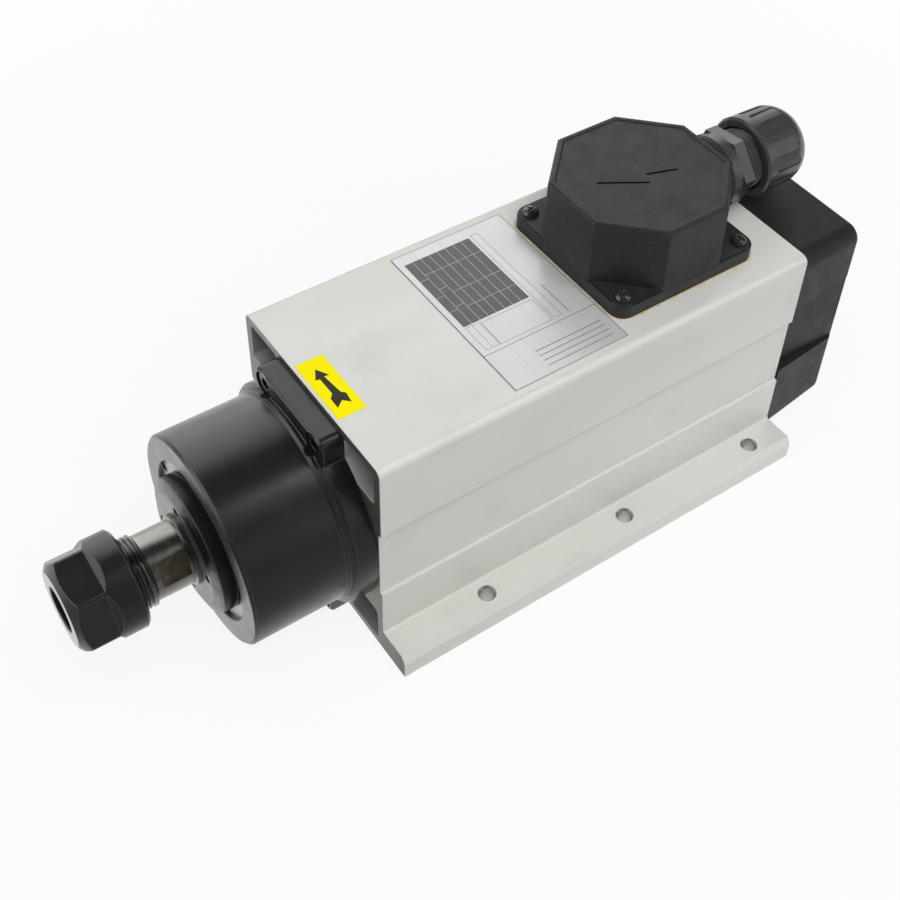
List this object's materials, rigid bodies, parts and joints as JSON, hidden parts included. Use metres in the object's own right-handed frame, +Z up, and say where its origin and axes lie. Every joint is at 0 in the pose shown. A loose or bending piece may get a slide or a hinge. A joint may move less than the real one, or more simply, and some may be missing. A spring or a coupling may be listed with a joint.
{
  "type": "electric motor spindle",
  "caption": "Square air-cooled electric motor spindle with a black bearing nose, collet chuck, terminal box with cable gland and rear fan cover.",
  "frame": {"origin": "middle of the six foot holes on the mounting face under the feet", "axes": "+Z up from the mounting face, -Y along the spindle axis to the nose and chuck, +X to the right seen from behind"},
  "size_m": [0.111, 0.3026, 0.1256],
  "materials": {
    "profile": "satin anodised",
    "black_steel": "black oxide steel, satin",
    "dark_screw": "black oxide",
    "grey_ring": "turned grey",
    "bearing_steel": "ground",
    "ball_steel": "polished",
    "cage_brass": "turned",
    "bright_steel": "turned bright",
    "laminations": "stacked sheet",
    "copper": "varnished copper wire",
    "cast_aluminium": "as cast",
    "cover_plastic": "fine grain",
    "box_plastic": "textured",
    "fan_plastic": "moulded",
    "gland_plastic": "moulded",
    "gland_rubber": "soft",
    "gasket_rubber": "flat",
    "box_screw": "zinc plated",
    "block_plastic": "moulded",
    "terminal_brass": "plated",
    "plate": "printed foil",
    "sticker": "foil",
    "collet_steel": "ground spring steel",
    "nut_steel": "black oxide"
  },
  "bodies": {
    "housing": {"body_extrusion": "profile", "front_housing": "black_steel", "flange_screws": "dark_screw", "front_retainer": "grey_ring", "front_bearing_a_outer_ring": "bearing_steel", "front_bearing_b_outer_ring": "bearing_steel", "outer_spacer": "bright_steel", "stator_core": "laminations", "stator_windings": "copper", "rear_bracket": "cast_aluminium", "bracket_screws": "dark_screw", "rear_bearing_outer_ring": "bearing_steel", "wave_spring": "bright_steel", "fan_cover": "cover_plastic", "fan_cover_screws": "dark_screw", "box_gasket": "gasket_rubber", "terminal_box": "box_plastic", "terminal_box_screws": "box_screw", "terminal_block": "block_plastic", "terminal_screws": "terminal_brass", "gland_locknut": "gland_plastic", "gland_washer": "gland_rubber", "gland_body": "gland_plastic", "rating_plate": "plate", "arrow_sticker": "sticker"},
    "shaft": {"spindle_shaft": "bright_steel", "rotor_core": "laminations", "rotor_end_rings": "cast_aluminium", "dust_disc": "black_steel", "inner_spacer": "bright_steel", "front_bearing_a_inner_ring": "bearing_steel", "front_bearing_b_inner_ring": "bearing_steel", "rear_bearing_inner_ring": "bearing_steel", "cooling_fan": "fan_plastic", "circlip": "dark_screw"},
    "front_cage_a": {"front_bearing_a_cage": "cage_brass", "front_bearing_a_balls": "ball_steel"},
    "front_cage_b": {"front_bearing_b_cage": "cage_brass", "front_bearing_b_balls": "ball_steel"},
    "rear_cage": {"rear_bearing_cage": "cage_brass", "rear_bearing_balls": "ball_steel"},
    "chuck_collet": {"collet": "collet_steel"},
    "chuck_nut": {"collet_nut": "nut_steel"},
    "cable_seal": {"gland_seal": "gland_rubber"},
    "cable_cap": {"gland_cap": "gland_plastic"}
  },
  "joints": [
    {"name": "shaft_spin", "type": "hinge", "parent": "housing", "child": "shaft", "pos_m": [0, -0.101, 0.047], "axis": [0, -1, 0], "continuous": true},
    {"name": "front_cage_a_spin", "type": "hinge", "parent": "housing", "child": "front_cage_a", "pos_m": [0, -0.101, 0.047], "axis": [0, -1, 0], "continuous": true},
    {"name": "front_cage_b_spin", "type": "hinge", "parent": "housing", "child": "front_cage_b", "pos_m": [0, -0.101, 0.047], "axis": [0, -1, 0], "continuous": true},
    {"name": "rear_cage_spin", "type": "hinge", "parent": "housing", "child": "rear_cage", "pos_m": [0, -0.101, 0.047], "axis": [0, -1, 0], "continuous": true},
    {"name": "collet_slide", "type": "slide", "parent": "shaft", "child": "chuck_collet", "axis": [0, -1, 0], "range_m": [0, 0.0045]},
    {"name": "nut_turn", "type": "hinge", "parent": "chuck_collet", "child": "chuck_nut", "pos_m": [0, -0.101, 0.047], "axis": [0, -1, 0], "range_deg": [0, 1080]},
    {"name": "seal_slide", "type": "slide", "parent": "housing", "child": "cable_seal", "axis": [0, -1, 0], "range_m": [0, 0.0045]},
    {"name": "cap_turn", "type": "hinge", "parent": "cable_seal", "child": "cable_cap", "pos_m": [0, 0.0625, 0.1103], "axis": [0, -1, 0], "range_deg": [0, 1080]}
  ],
  "couplings": [
    {"joint": "front_cage_a_spin", "follows": "shaft_spin", "ratio": 0.411},
    {"joint": "front_cage_b_spin", "follows": "shaft_spin", "ratio": 0.411},
    {"joint": "rear_cage_spin", "follows": "shaft_spin", "ratio": 0.4},
    {"joint": "collet_slide", "follows": "nut_turn", "m_per_rad": 0.00023873},
    {"joint": "seal_slide", "follows": "cap_turn", "m_per_rad": 0.00023873}
  ]
}
